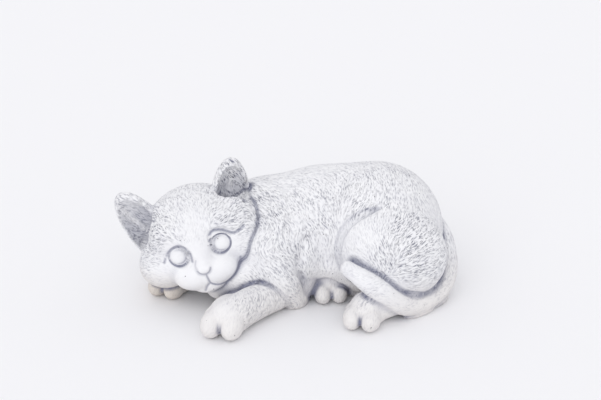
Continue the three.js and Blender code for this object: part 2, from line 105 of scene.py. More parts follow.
def spline(points, steps, centripetal=True):
    """Points along the Catmull-Rom spline through the given ones."""
    points = np.array(points, float)
    first = 2 * points[0] - points[1] if centripetal else points[0]
    last = 2 * points[-1] - points[-2] if centripetal else points[-1]
    padded = np.vstack([first, points, last])
    made = []
    for t in np.linspace(0, len(points) - 1, steps + 1):
        k = min(int(t), len(points) - 2)
        w = t - k
        p0, p1, p2, p3 = padded[k:k + 4]
        gaps = [1.0, 1.0, 1.0]
        if centripetal:
            gaps = [max(np.sum((b - a) ** 2) ** 0.25, 1e-4) for a, b in ((p0, p1), (p1, p2), (p2, p3))]
        g0, g1, g2 = gaps
        start = ((p1 - p0) / g0 - (p2 - p0) / (g0 + g1) + (p2 - p1) / g1) * g1
        end = ((p2 - p1) / g1 - (p3 - p1) / (g1 + g2) + (p3 - p2) / g2) * g1
        square = -3 * p1 + 3 * p2 - 2 * start - end
        cube = 2 * p1 - 2 * p2 + start + end
        made.append(p1 + start * w + square * w ** 2 + cube * w ** 3)
    return np.array(made)


def from_line(p, line, girth):
    """Distance of points from a chain of round cones."""
    least = np.full(len(p), np.inf)
    for a, b, ra, rb in zip(line[:-1], line[1:], girth[:-1], girth[1:]):
        u = b - a
        t = np.clip((p - a) @ u / (u @ u), 0, 1)
        least = np.minimum(least, np.linalg.norm(p - a - t[:, None] * u, axis=1) - ra - t * (rb - ra))
    return least


def limb(points, radii, steps=14):
    line = spline(points, steps)
    girth = spline([[r] for r in radii], steps, centripetal=False)[:, 0]
    middle = (line.max(0) + line.min(0)) / 2
    reach = np.linalg.norm(line - middle, axis=1).max() + girth.max()

    def form(p):
        d = np.linalg.norm(p - middle, axis=1) - reach
        close = d < 25
        d[close] = from_line(p[close], line, girth)
        return d

    return form


def meld(a, b, soft):
    h = np.maximum(soft - np.abs(a - b), 0) / soft
    return np.minimum(a, b) - h * h * soft * 0.25


def creased(a, b, soft, width, depth):
    """Two forms joined with a furrow pressed along the line where they meet."""
    return meld(a, b, soft) + depth * np.exp(-(a * a + b * b) / width ** 2)


def joined(soft, *forms):
    def form(p):
        d = forms[0](p)
        for other in forms[1:]:
            d = meld(d, other(p), soft)
        return d

    return form


def hollowed(soft, form, tool):
    return lambda p: -meld(-form(p), tool(p), soft)


def mirrored(make):
    return make(-1), make(1)


def hulled(form, centre, radius):
    """Well outside its hull sphere a form is only as near as the sphere is."""
    def field(p):
        d = np.linalg.norm(p - np.array(centre), axis=1) - radius
        close = d < 12
        d[close] = form(p[close])
        return d

    return field


def turning(turn):
    """The matrix of a turn in degrees: roll first, then pitch, then yaw."""
    pitch, roll, yaw = (math.radians(a) for a in turn)
    cosine, sine = math.cos, math.sin
    about_x = np.array([[1, 0, 0], [0, cosine(pitch), -sine(pitch)], [0, sine(pitch), cosine(pitch)]])
    about_y = np.array([[cosine(roll), 0, sine(roll)], [0, 1, 0], [-sine(roll), 0, cosine(roll)]])
    about_z = np.array([[cosine(yaw), -sine(yaw), 0], [sine(yaw), cosine(yaw), 0], [0, 0, 1]])
    return about_z @ about_x @ about_y


def placed(form, place, turn):
    """A form made in its own frame, then turned and put in place."""
    matrix = turning(turn)
    return lambda p: form((p - np.array(place)) @ matrix)


def drawn_on(form, line):
    """A line drawn on the front of a form, given across and up, and found by going in along +Y."""
    p = np.array([(x, -100.0, z) for x, z in line])
    for _ in range(200):
        d = form(p)
        out = d > 0.05
        if not out.any():
            break
        p[out, 1] += np.maximum(d[out] * 0.7, 0.05)
    return p


def grooved(form, line, width, depth, steps=12):
    """A groove pressed along a line on a form, or with a depth below zero a ridge."""
    path = spline(line, steps)
    girth = np.zeros(len(path))
    middle = (path.max(0) + path.min(0)) / 2
    reach = np.linalg.norm(path - middle, axis=1).max() + 3 * width

    def field(p):
        d = form(p)
        close = (np.abs(d) < 10) & (np.linalg.norm(p - middle, axis=1) < reach)
        d[close] += depth * np.exp(-(from_line(p[close], path, girth) / width) ** 2)
        return d

    return field


def footed(height, form):
    """Below the height the form drops straight down."""
    return lambda p: form(np.column_stack([p[:, 0], p[:, 1], np.maximum(p[:, 2], height)]))


# The head in its own frame: x to the cat's left, y to the back of the head, z to the crown.
def eye_centre(s):
    across, back, up = EYES_MIDDLE
    return (s * EYE_SPACING / 2 + across, back, up)


def ringed(form, under, s):
    """The groove round an eye, which follows the face in and out."""
    cx, _, cz = eye_centre(s)
    cy = drawn_on(under, [(cx, cz)])[0, 1]

    def field(p):
        d = form(p)
        ring = np.hypot(p[:, 0] - cx, p[:, 2] - cz) - EYE_RING
        near = np.hypot(ring, (p[:, 1] - cy) / RING_REACH)
        return d + RING_DEPTH * np.exp(-(near / RING_WIDTH) ** 2)

    return field


EARS = (((-31.5, 4, 11), (12, -16, -14)), ((29, 2, 11), (12, 16, 14)))


def ear_cup():
    return ball((0, -7, CUP_FOOT), (EAR_HALF_WIDTH - EAR_WALL, 10, EAR_LENGTH - EAR_WALL - CUP_FOOT))


def eared(form, place, turn):
    """An ear on the head. Its cup is cut into the head as well, down to its foot."""
    shell = ball((0, 1, 0), (EAR_HALF_WIDTH, 9, EAR_LENGTH))
    return hollowed(1.4, joined(2.4, form, placed(shell, place, turn)), placed(ear_cup(), place, turn))


PHILTRUM = [(0, -19.5), (0.3, -23), (0.6, -26.9)]
UNDER_NOSE = [(-5, -15.5), (-3.2, -18), (0, -19.4), (3, -18.2), (4.6, -15.8)]
NOSE_SIDE = [(-3.6, -8), (-5.4, -12), (-5.2, -15)]
MOUTH_LEFT = [(0.6, -26.9), (3.5, -29.3), (7.4, -30.9), (11.7, -31.2), (16.1, -29.4)]
CHEEK_CREASE = [(16.1, -29.4), (21.7, -25.6), (24.3, -22), (25.8, -18.5)]
MOUTH_RIGHT = [(0.6, -26.9), (-2.3, -29), (-4.3, -31.8)]
LEFT_FOLD = [
    (9.6, 1), (10.5, 4.6), (13, 6.8), (18.1, 5.9), (22.9, 2.6),
    (26, 0.3), (29.5, 0.2), (34.7, 2.3),
]
BROW_EDGE = [(34.7, 2.3), (38, 6.6), (38.4, 12), (36.5, 16.2)]
RIGHT_FOLD = [(-6.3, -8.6), (-5.8, -2.8), (-8.6, 1.8), (-12.7, 4.2), (-18, 3), (-22.7, -1), (-25.8, -5.5)]


# the valley in each ear's cup, and the pocket where the ear's outer edge meets the head
EAR_LINES = (
    ([(-44, 33), (-41, 25), (-36, 17), (-33, 11)], 2.0, 1.6),
    ([(-41, 2), (-37.5, 5.5)], 2.2, 2.2),
    ([(36, 38), (35, 30), (33, 24)], 2.4, 1.4),
    ([(40, 15), (42, 19)], 2.2, 2.2),
)


def lid_line(s):
    """The upper lid, an arc over the eye."""
    cx, _, cz = eye_centre(s)
    turns = np.radians(LID_TURNS)
    return [(cx + s * LID_RADIUS * math.cos(a), cz + LID_RADIUS * math.sin(a)) for a in turns]


FACE_LINES = (
    (PHILTRUM, 0.9, 1.7),
    (UNDER_NOSE, 0.9, 1.5),
    (NOSE_SIDE, 0.9, 1.0),
    (MOUTH_LEFT, 0.95, 2.1),
    (CHEEK_CREASE, 1.6, 1.7),
    (MOUTH_RIGHT, 0.95, 1.6),
    (LEFT_FOLD, 1.25, 2.3),
    (BROW_EDGE, 0.9, 0.8),
    (RIGHT_FOLD, 1.1, 1.7),
)


def face_form():
    skull = ball((0, 3, 3), (37, 37, 33))
    cheeks = mirrored(lambda s: ball((s * 25, -6, -11), (21, 22, 18)))
    brows = mirrored(lambda s: ball((s * 15, -22, 11.5), (14, 9, 8)))
    muzzle = ball((0, -25, -20), (18, 13, 13))
    puffs = mirrored(lambda s: ball((s * 9.5, -28.5, -20.5), (12, 10, 9)))
    bridge = limb([(0, -28, 6), (0, -33, -5), (0, -36, -12)], (9, 7.2, 5.2))
    nose = ball((0, -39.4, -15.5), (NOSE_HALF_WIDTH, 2.8, 3))
    chin = ball((0, -28, -30.5), (10, 7, 5))
    jowl = ball((31, -8, 0), (17, 20, 25))
    eyes = mirrored(lambda s: ball(eye_centre(s), (EYE_RADIUS, EYE_BULGE, EYE_RADIUS)))
    mass = joined(9, skull, *cheeks, muzzle, *brows, jowl)
    muzzled = joined(2.5, joined(6, mass, bridge, *puffs), chin)
    socketed = muzzled
    for s in (-1, 1):
        cx, cy, cz = eye_centre(s)
        socket = ball((cx, cy - SOCKET_OUT, cz), (SOCKET_RADIUS, SOCKET_DEPTH, SOCKET_RADIUS))
        socketed = hollowed(2, socketed, socket)
    faced = joined(0.4, joined(0.8, socketed, nose), *eyes)
    face = ringed(ringed(faced, muzzled, -1), muzzled, 1)
    for line, width, depth in FACE_LINES:
        face = grooved(face, drawn_on(faced, line), width, depth)
    for line, width, depth in ((lid_line(-1), 0.9, -1.0), (lid_line(1), 1.0, -1.2)):
        face = grooved(face, drawn_on(faced, line), width, depth)
    return face


def head_form():
    both_eared = face_form()
    for place, turn in EARS:
        both_eared = eared(both_eared, place, turn)
    carved = both_eared
    for line, width, depth in EAR_LINES:
        carved = grooved(carved, drawn_on(both_eared, line), width, depth)
    return hulled(placed(carved, HEAD_PLACE, HEAD_TURN), HEAD_PLACE, 64)


# the body, in the drawing's frame
BELLY_FOLD = [(37, 88), (31, 75), (27, 61), (26, 48), (28, 36)]
ELBOW_FOLD = [(13, 52), (9.5, 38), (9, 25), (12, 13)]
NECK_FOLD = [(-17.5, 84), (-12.6, 75.7), (-11.2, 66), (-12.6, 56), (-17.5, 46), (-22, 38)]
SHOULDER_FOLD = [(0, 82), (3, 70), (2, 58)]


def coat_form():
    chest = ball((-8, 20, 36.5), (34, 36, 39))
    nape = ball((-20, 30, 45), (27, 30, 33))
    ribs = ball((25, 27, 43), (47, 39, 46.3))
    rump = ball((64, 20, 45), (48, 45, 49.3))
    throat = ball((-50, 32, 22), (30, 19, 26))
    torso = joined(16, chest, nape, ribs, rump, throat)
    seat = ball((92, -1, 3), (25, 21, 12))
    dock = ball((100, 12, 14), (14, 18, 17))
    shoulder = ball((-2, -3, 36), (23, 17, 33))
    elbow = ball((4, -4, 13), (14, 13, 16))
    smooth = footed(6, joined(7, torso, shoulder, elbow, seat, dock))
    coat = smooth
    folds = ((BELLY_FOLD, 1.3, 2.3), (SHOULDER_FOLD, 1.2, 1.1), (ELBOW_FOLD, 1, 1.9), (NECK_FOLD, 1, 1.6))
    for line, wider, deeper in folds:
        coat = grooved(coat, drawn_on(smooth, line), FOLD_WIDTH * wider, FOLD_DEPTH * deeper)
    return coat


def paw(place, heading, r):
    """A foot on the ground: two big toes in front, a small one at each side, and the back of the foot."""
    big = mirrored(lambda s: ball((s * 0.94 * r, -0.3 * r, 1.15 * r), (1.04 * r, 1.6 * r, 1.2 * r)))
    small = mirrored(lambda s: ball((s * 1.42 * r, 1.1 * r, 1.05 * r), (0.7 * r, 1.3 * r, 0.88 * r)))
    back = ball((0, 1.5 * r, 1.35 * r), (1.75 * r, 2.5 * r, 1.55 * r))
    foot = joined(0.2 * r, back, *small, *big)
    return hulled(placed(foot, (*place, 0), (0, 0, heading)), (*place, r), 5 * r)


def leg(line, girth, foot):
    return joined(2.4, limb(line, [g * LEG_RADIUS for g in girth]), foot)


def leg_forms():
    left_fore = leg(
        [(8, -2, 14), (-18, -27, 13), (-34, -45, 12.5), (-40, -51, 12.5)],
        (1.12, 1, 1, 0.95),
        paw((-43.5, -54), -14, LEFT_FORE_TOE),
    )
    right_fore = leg(
        [(-35, 45, 16), (-62, 40, 13), (-84, 27, 15), (-91, 13, 17)],
        (1.2, 1.04, 0.9, 0.84),
        paw((-86, 4), -25, RIGHT_FORE_TOE),
    )
    left_hind = leg(
        [(82, -22, 14), (66, -32, 13), (56, -37, 12)],
        (0.96, 0.96, 0.92),
        paw((52.5, -43.5), -15, LEFT_HIND_TOE),
    )
    right_hind = leg(
        [(40, 18, 16), (33, 6, 14), (31, 0, 14)],
        (1.12, 0.96, 0.84),
        paw((30.5, -5), 8, RIGHT_HIND_TOE),
    )
    return left_fore, right_fore, left_hind, right_hind


TAIL_LINE = [
    (103, 30, 50), (112.5, 22, 37), (115.6, 8, 20), (109, -8, 11),
    (90, -27, 8.5), (75, -36, 16), (59.5, -39.5, 30.5), (42, -38, 42.5),
]
TAIL_GIRTH = (1, 1, 1, 1, 1.03, 1.1, 1.12)


def figure_form():
    coat = coat_form()
    haunch = placed(ball((0, 0, 0), (39, 24.5, 33)), (74, -14.5, 43), (0, 20, 0))
    ruff = limb([(-11, -1, 46), (-15, -10, 34), (-32, -13, 24), (-47, -12, 18)], (15, 14, 13.5, 12))
    mane = limb([(-14, -12, 46), (-9, -18, 34), (-2, -19, 21), (4, -14, 9)], (13, 12, 11, 10))
    head = head_form()
    legs = leg_forms()
    radii = [g * TAIL_RADIUS for g in TAIL_GIRTH] + [TAIL_TIP_RADIUS]
    tail = footed(3, limb(TAIL_LINE, radii, 28))

    def form(p):
        fading = np.clip((p[:, 0] - 50) / 32, 0, 1)
        d = creased(coat(p), haunch(p), 3 + 11 * fading, 2.2, 2.4 * (1 - fading))
        d = meld(d, meld(ruff(p), mane(p), 7), 7)
        d = creased(d, head(p), 4, 1.4, 0.8)
        for each in legs:
            d = creased(d, each(p), 2.6, 1.8, 0.7)
        return np.maximum(creased(d, tail(p), 4, 2, 0.8), -p[:, 2])

    return form


# How the fur lies: a place on the coat, the way that the hair points there, and how deep it is carved.
COAT_GUIDES = [
    ((-18, 2, 74), (0.7, -0.6, -0.4), 0.9),
    ((-12, -7, 68), (0.5, -0.7, -0.5), 0.9),
    ((2, 4, 75), (0.6, -0.7, -0.4), 0.7),
    ((-2, 16, 82), (0.9, -0.4, 0.1), 0.4),
    ((13, -7, 67), (0.4, -0.5, -0.7), 0.6),
    ((27, 4, 83), (0.5, -0.6, -0.6), 0.6),
    ((24, -9, 64), (0.4, -0.3, -0.9), 0.7),
    ((11, -14, 47), (0.2, -0.2, -1.0), 0.8),
    ((23, -13, 44), (0.0, 0.0, -1.0), 0.5),
    ((-17, -19, 55), (-0.4, -0.5, -0.8), 0.6),
    ((-3, -21, 39), (0.7, 0.2, -0.7), 0.7),
    ((-17, -28, 31), (0.7, 0.2, -0.7), 0.6),
    ((51, 19, 93), (0.6, -0.8, 0.0), 0.5),
    ((45, -1, 85), (-0.2, -0.7, -0.6), 0.7),
    ((56, -4, 86), (-0.2, -0.6, -0.8), 0.7),
    ((67, 3, 91), (0.3, -0.8, -0.5), 0.6),
    ((82, -7, 80), (0.0, -0.7, -0.7), 0.5),
    ((100, -2, 66), (0.1, -0.4, -0.9), 0.4),
    ((52, -9, 79), (-0.7, -0.3, -0.7), 0.8),
    ((44, -22, 60), (0.0, -0.6, -0.8), 0.3),
    ((57, -27, 63), (0.2, -0.7, -0.7), 0.25),
    ((50, -33, 45), (0.8, -0.4, -0.5), 0.4),
    ((81, -27, 63), (-0.7, -0.6, -0.4), 1.0),
    ((92, -17, 63), (-0.5, -0.8, -0.1), 0.9),
    ((88, -34, 51), (-0.9, -0.3, -0.3), 1.0),
    ((99, -27, 52), (-0.8, -0.6, -0.2), 0.8),
    ((67, -36, 52), (0.4, -0.2, -0.9), 0.9),
    ((88, -36, 39), (-1.0, -0.2, -0.1), 1.0),
    ((115, 8, 33), (0.3, -0.6, -0.8), 0.6),
    ((119, -10, 15), (-0.5, -0.9, -0.1), 0.35),
    ((96, -36, 14), (-0.7, -0.7, -0.3), 0.25),
    ((75, -41, 26), (-0.8, -0.1, 0.6), 0.15),
    ((50, -38, 38), (-0.9, 0.1, 0.4), 0.15),
    ((-17, -43, 18), (-0.2, -0.6, -0.8), 0.6),
    ((-32, -53, 23), (-0.2, -0.9, -0.4), 0.4),
    ((-8, -34, 18), (0.2, -0.2, -1.0), 0.6),
    ((-25, -52, 12), (-0.3, -0.7, -0.6), 0.8),
    ((-1, -23, 23), (0.7, 0.0, -0.7), 0.6),
    ((-49, -61, 17), (-0.3, -0.8, -0.5), 0.1),
    ((-34, -65, 16), (-0.2, -0.7, -0.7), 0.1),
    ((43, -50, 16), (-0.2, -0.7, -0.6), 0.2),
    ((54, -55, 14), (-0.3, -0.3, -0.9), 0.2),
    ((52, -44, 22), (-0.5, -0.2, -0.8), 0.5),
    ((27, -11, 15), (-0.2, -0.9, -0.4), 0.3),
    ((36, -11, 18), (-0.2, -0.3, -0.9), 0.3),
    ((-93, -9, 14), (-0.2, -0.8, -0.6), 0.3),
    ((-84, -9, 14), (-0.1, -0.8, -0.6), 0.3),
    ((0, 62, 50), (0.6, 0.2, -0.7), 0.5),
    ((60, 66, 50), (0.3, 0.1, -1.0), 0.5),
    ((-30, 52, 40), (0.5, 0.3, -0.6), 0.6),
    ((105, 45, 50), (0.4, 0.3, -0.9), 0.5),
    ((-60, 50, 25), (0.3, 0.2, -0.9), 0.5),
    ((25, 30, 90), (1.0, 0.1, 0.0), 0.4),
]
# the same in the head's frame
HEAD_GUIDES = [
    ((5, -29, 21), (0.0, 0.7, 0.7), 0.3),
    ((-2, -19, 30), (-0.1, 0.9, 0.4), 0.5),
    ((-24, -21, 21), (-0.3, 0.9, 0.1), 0.9),
    ((-35, -17, 4), (-0.6, 0.8, -0.2), 1.0),
    ((-29, -25, 12), (-0.3, 1.0, 0.0), 0.9),
    ((25, -28, 14), (0.7, 0.8, 0.0), 0.8),
    ((32, -20, 6), (0.8, 0.5, 0.1), 0.9),
    ((29, -27, -7), (1.0, -0.1, -0.1), 0.35),
    ((22, -30, -17), (1.0, 0.1, 0.1), 0.1),
    ((-27, -28, -10), (-0.8, 0.2, 0.6), 0.15),
    ((6, -35, 11), (0.2, 0.5, 0.8), 0.25),
    ((-36, -22, -3), (-0.6, 0.8, 0.2), 0.6),
    ((-1, -40, -4), (0.2, 0.2, 1.0), 0.05),
    ((0, -40, -22), (0.0, -0.2, -1.0), 0.0),
    ((14, -36, -22), (1.0, 0.2, -0.2), 0.0),
    ((-14, -36, -22), (-1.0, 0.2, -0.2), 0.0),
    ((0, -33, -33), (0.0, 0.6, -0.8), 0.1),
    ((0, 20, 36), (0.0, 1.0, -0.1), 0.6),
    ((0, 42, 10), (0.0, 0.2, -1.0), 0.6),
    ((30, 26, 0), (0.6, 0.6, -0.5), 0.6),
    ((-30, 26, 0), (-0.6, 0.6, -0.5), 0.6),
    ((40, -3, 30), (-0.5, -0.1, 0.9), 1.2),
    ((-42, -3, 27), (-0.9, 0.3, 0.5), 1.0),
    ((38, 12, 30), (0.2, -0.1, 1.0), 0.4),
    ((-38, 12, 30), (-0.2, -0.1, 1.0), 0.4),
]


def slopes(form, p, step=0.05):
    """The field at points and the direction in which it grows."""
    d = form(p)
    rise = np.column_stack([form(p + step * axis) - d for axis in np.eye(3)]) / step
    return d, rise

EVENING = 0.6  # how much of the way to the middle of its neighbours a point is moved
LONGEST_STEP = 1.5
LEAST_SLOPE = 0.3  # the least square of the slope, so that no step runs away where the field is flat


def evened(mesh, p, loose):
    """Moves the loose points towards the middle of their neighbours, which spreads them evenly."""
    ends = np.empty(len(mesh.edges) * 2, int)
    mesh.edges.foreach_get("vertices", ends)
    a, b = ends.reshape(-1, 2).T
    counts = np.bincount(ends, minlength=len(p))
    middles = np.empty_like(p)
    for axis in range(3):
        sums = np.bincount(a, p[b, axis], len(p)) + np.bincount(b, p[a, axis], len(p))
        middles[:, axis] = sums / counts
    return np.where(loose[:, None], p + EVENING * (middles - p), p)


def onto(form, p, rounds=3):
    """Moves points onto the surface of a field, in each round by LONGEST_STEP at most where it is steep."""
    for _ in range(rounds):
        d, rise = slopes(form, p)
        steep = np.maximum((rise ** 2).sum(1), LEAST_SLOPE)
        p = p - rise * (np.clip(d, -LONGEST_STEP, LONGEST_STEP) / steep)[:, None]
    return p


GUIDE_BLUR = 30  # in square millimetres; the more, the softer the fur turns from guide to guide


def fur_at(p, normal):
    """The way the fur lies at each point, along the surface, and its depth, from the nearest guides."""
    matrix = turning(HEAD_TURN)
    guides = list(COAT_GUIDES)
    for place, way, depth in HEAD_GUIDES:
        guides.append((matrix @ np.array(place) + np.array(HEAD_PLACE), matrix @ np.array(way), depth))
    flow = np.zeros_like(p)
    depth_sum = np.zeros(len(p))
    weights = np.zeros(len(p))
    for place, way, depth in guides:
        near = ((p - np.array(place)) ** 2).sum(1)
        weight = 1 / (near + GUIDE_BLUR) ** 2
        flow += weight[:, None] * np.array(way)
        depth_sum += weight * depth
        weights += weight
    flow -= normal * (flow * normal).sum(1)[:, None]
    flow /= np.maximum(np.linalg.norm(flow, axis=1), 1e-9)[:, None]
    return flow, depth_sum / weights


LINE_WASH_AND_SHADE = 0.45  # the wash and painted shade for each millimetre of a line's depth
MOST_LINE_WASH_AND_SHADE = 0.85
RING_WASH_AND_SHADE = 0.75
RING_WASH_AND_SHADE_WIDTH = 0.8
CUP_WASH_AND_SHADE = 0.46
CUP_WASH_AND_SHADE_WIDTH = 1.2
CUP_WASH_AND_SHADE_REACH = 22  # how far below the ear's tip the cup's wash and painted shade are at their thickest
LEAST_CUP_WASH_AND_SHADE = 0.25  # at the tip, as a share of the thickest
BESIDE_FACE = -15  # the face's lines are all in front of this
CREASE_REACHES = ((1.2, 0.35), (2.8, 0.35), (6.5, 0.3))  # how far ahead it is felt, and what each counts


def line_wash_and_shade(q):
    """The wash and painted shade in the lines of the face and round the eyes, for points in the head's
    frame.
    """
    front = q[:, 1] < BESIDE_FACE
    found = np.zeros(len(q))
    flat = q[front] * (1, 0, 1)
    for line, width, depth in FACE_LINES:
        path = spline([(x, 0, z) for x, z in line], 12)
        away = from_line(flat, path, np.zeros(len(path)))
        most = min(LINE_WASH_AND_SHADE * depth, MOST_LINE_WASH_AND_SHADE)
        found[front] = np.maximum(found[front], most * np.exp(-(away / width) ** 2))
    for s in (-1, 1):
        cx, _, cz = eye_centre(s)
        ring = np.hypot(flat[:, 0] - cx, flat[:, 2] - cz) - EYE_RING
        found[front] = np.maximum(found[front], RING_WASH_AND_SHADE * np.exp(-(ring / RING_WASH_AND_SHADE_WIDTH) ** 2))
    return found


def cup_wash_and_shade(q):
    """The wash and painted shade in the ears' cups, thicker towards the foot."""
    found = np.zeros(len(q))
    for place, turn in EARS:
        local = (q - np.array(place)) @ turning(turn)
        lining = np.exp(-(ear_cup()(local) / CUP_WASH_AND_SHADE_WIDTH) ** 2)
        foot = np.clip((EAR_LENGTH - local[:, 2]) / CUP_WASH_AND_SHADE_REACH, LEAST_CUP_WASH_AND_SHADE, 1)
        found = np.maximum(found, CUP_WASH_AND_SHADE * lining * foot)
    return found


def hollowness(form, p, normal):
    """How deep in a crease each point is, by how near the stone in front of it is: 0 in the open."""
    found = np.zeros(len(p))
    for reach, share in CREASE_REACHES:
        found += share * np.clip(1 - form(p + normal * reach) / reach, 0, 1.2)
    return found


BARE_ROUND_EYE = 8.5
BARE_ROUND_NOSE = 6


def bared(q, depth):
    """The fur's depth with none round the eyes and on the nose, for points in the head's frame."""
    for s in (-1, 1):
        cx, cy, cz = eye_centre(s)
        away = np.hypot(q[:, 0] - cx, q[:, 2] - cz)
        kept = np.clip((away - BARE_ROUND_EYE) / 5, 0, 1)
        depth = depth * np.where(q[:, 1] < cy + 8, kept, 1)
    away = np.linalg.norm(q - np.array([0, -40, -15.5]), axis=1)
    return depth * np.clip((away - BARE_ROUND_NOSE) / 4, 0, 1)


def skin_of(node, cell):
    """The node's solid as an even net of cells, without facets of its own."""
    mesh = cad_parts[node].data.copy()
    bm = bmesh.new()
    bm.from_mesh(mesh)
    bmesh.ops.remove_doubles(bm, verts=bm.verts, dist=1e-6)
    bm.to_mesh(mesh)
    bm.free()
    source = bpy.data.objects.new("net", mesh)
    bpy.context.scene.collection.objects.link(source)
    net = source.modifiers.new("net", "REMESH")
    net.mode = "VOXEL"
    net.voxel_size = cell * MM
    depsgraph = bpy.context.evaluated_depsgraph_get()
    made = bpy.data.meshes.new_from_object(source.evaluated_get(depsgraph))
    bpy.data.objects.remove(source)
    return made


def in_head(p):
    return (p - np.array(HEAD_PLACE)) @ turning(HEAD_TURN)


def wants_detail(p):
    """The front of the face, with the eyes, nose and mouth."""
    q = in_head(p)
    return (np.abs(q[:, 0]) < 27) & (q[:, 1] < -20) & (q[:, 2] > -34) & (q[:, 2] < 10)


def refine(mesh, chosen):
    """Halves the cells of the chosen parts."""
    bm = bmesh.new()
    bm.from_mesh(mesh)
    places = np.array([v.co for v in bm.verts]) / MM + DRAWING_MIDDLE
    picked = chosen(places)
    edges = [e for e in bm.edges if picked[e.verts[0].index] and picked[e.verts[1].index]]
    bmesh.ops.subdivide_edges(bm, edges=edges, cuts=1, use_grid_fill=True)
    bm.to_mesh(mesh)
    bm.free()


def flatten_base(mesh, low):
    """Puts the underside on the ground as one flat face."""
    bm = bmesh.new()
    bm.from_mesh(mesh)
    for v in bm.verts:
        if v.co.z < low:
            v.co.z = 0
    ground = [f for f in bm.faces if all(v.co.z == 0 for v in f.verts)]
    bmesh.ops.dissolve_faces(bm, faces=ground, use_verts=True)
    bmesh.ops.triangulate(bm, faces=[f for f in bm.faces if len(f.verts) > 4])
    bm.to_mesh(mesh)
    bm.free()


def set_attribute(mesh, name, kind, values):
    found = mesh.attributes.new(name, kind, "POINT")
    field = "vector" if kind == "FLOAT_VECTOR" else "value"
    found.data.foreach_set(field, np.ascontiguousarray(values, np.float32).ravel())


def linear(hex_colour):
    """An sRGB hex colour as the linear values that the shader works in."""
    values = [int(hex_colour[i:i + 2], 16) / 255 for i in (1, 3, 5)]
    return tuple(v / 12.92 if v <= 0.04045 else ((v + 0.055) / 1.055) ** 2.4 for v in values) + (1.0,)


MATH = "ShaderNodeMath"
VECTOR_MATH = "ShaderNodeVectorMath"
MAP_RANGE = "ShaderNodeMapRange"
SEPARATE = "ShaderNodeSeparateXYZ"
VORONOI = "ShaderNodeTexVoronoi"


def add(tree, kind, inputs=(), **settings):
    """Adds a node with its settings. The inputs are given by name or number, or in their order, and each
    is a value, or another node's output to link to it."""
    node = tree.nodes.new(kind)
    for name, value in settings.items():
        setattr(node, name, value)
    if not isinstance(inputs, dict):
        inputs = dict(enumerate(inputs))
    for name, value in inputs.items():
        if isinstance(value, bpy.types.NodeSocket):
            tree.links.new(value, node.inputs[name])
        else:
            node.inputs[name].default_value = value
    return node


TUFT_LEAN = 0.3  # the most that a tuft leans to either side of the fur's way, as a slope
LIGHTEST_STROKE = 0.25  # the lightest stroke as a share of the deepest
TUFT_SHIFT = (37.0, 53.0, 0.0)  # the most that a tuft's strokes are moved, in strokes


def strokes(tree, place, flow, across, tuft, spacing, shape):
    """Short carved strokes that follow the fur: 1 along the middle of a stroke and 0 between strokes.
    place is in millimetres. Each tuft has its own origin and leans its own way, and in it the strokes
    are spread by spacing, along and across the fur, with the half length and half width of shape.
    tuft, spacing and shape are numbers, or sockets that give them."""
    scale = add(tree, MATH, (1.0, tuft), operation="DIVIDE").outputs[0]
    cell = add(tree, VORONOI, {"Vector": place, "Scale": scale})
    offset = add(tree, VECTOR_MATH, (place, cell.outputs["Position"]), operation="SUBTRACT").outputs[0]
    chance = add(tree, SEPARATE, (cell.outputs["Color"],)).outputs[0]
    lean = add(tree, MAP_RANGE, (chance, 0.0, 1.0, -TUFT_LEAN, TUFT_LEAN)).outputs[0]
    along = add(tree, VECTOR_MATH, (offset, flow), operation="DOT_PRODUCT").outputs["Value"]
    aside = add(tree, VECTOR_MATH, (offset, across), operation="DOT_PRODUCT").outputs["Value"]
    u = add(tree, MATH, (lean, aside, along), operation="MULTIPLY_ADD").outputs[0]
    other_way = add(tree, MATH, (lean, -1.0), operation="MULTIPLY").outputs[0]
    v = add(tree, MATH, (other_way, along, aside), operation="MULTIPLY_ADD").outputs[0]
    flat = add(tree, "ShaderNodeCombineXYZ", (u, v)).outputs[0]
    counted = add(tree, VECTOR_MATH, (flat, spacing), operation="DIVIDE").outputs[0]
    shifted = add(tree, VECTOR_MATH, (cell.outputs["Color"], TUFT_SHIFT), operation="MULTIPLY").outputs[0]
    grid = add(tree, VECTOR_MATH, (counted, shifted), operation="ADD").outputs[0]
    inputs = {"Vector": grid, "Scale": 1.0, "Randomness": 0.9}
    mark = add(tree, VORONOI, inputs, voronoi_dimensions="2D")
    away = add(tree, VECTOR_MATH, (grid, mark.outputs["Position"]), operation="SUBTRACT").outputs[0]
    measured = add(tree, VECTOR_MATH, (away, spacing), operation="MULTIPLY").outputs[0]
    sized = add(tree, VECTOR_MATH, (measured, shape), operation="DIVIDE").outputs[0]
    near = add(tree, VECTOR_MATH, (sized,), operation="LENGTH").outputs["Value"]
    stroke = add(tree, MAP_RANGE, (near, 0.0, 1.0, 1.0, 0.0), interpolation_type="SMOOTHSTEP").outputs[0]
    pick = add(tree, SEPARATE, (mark.outputs["Color"],)).outputs[0]
    press = add(tree, MAP_RANGE, (pick, 0.0, 1.0, LIGHTEST_STROKE, 1.0)).outputs[0]
    return add(tree, MATH, (stroke, press), operation="MULTIPLY").outputs[0]


# Sizes of the strokes in millimetres: the tufts, then how strokes are spread and how long and wide half of
# one is, each along and across the fur.
TUFT = 8.0
LOCK_TUFT = 14.0
FINE_TUFT = 5.0
LOCK_SPACING = (12.0, 5.6, 1.0)
LOCK_SHAPE = (7.0, 2.3, 1.0)
CARVED_SPACING = (6.0, 2.7, 1.0)
CARVED_SHAPE = (3.4, 0.9, 1.0)
PAINTED_STROKE_SHAPE = (3.4, 0.66, 1.0)
FINE_SPACING = (3.8, 1.35, 1.0)
FINE_SHAPE = (2.3, 0.42, 1.0)
SEED = 4
SEED_STEP = 31.7  # the patterns are moved by this for each step of the seed


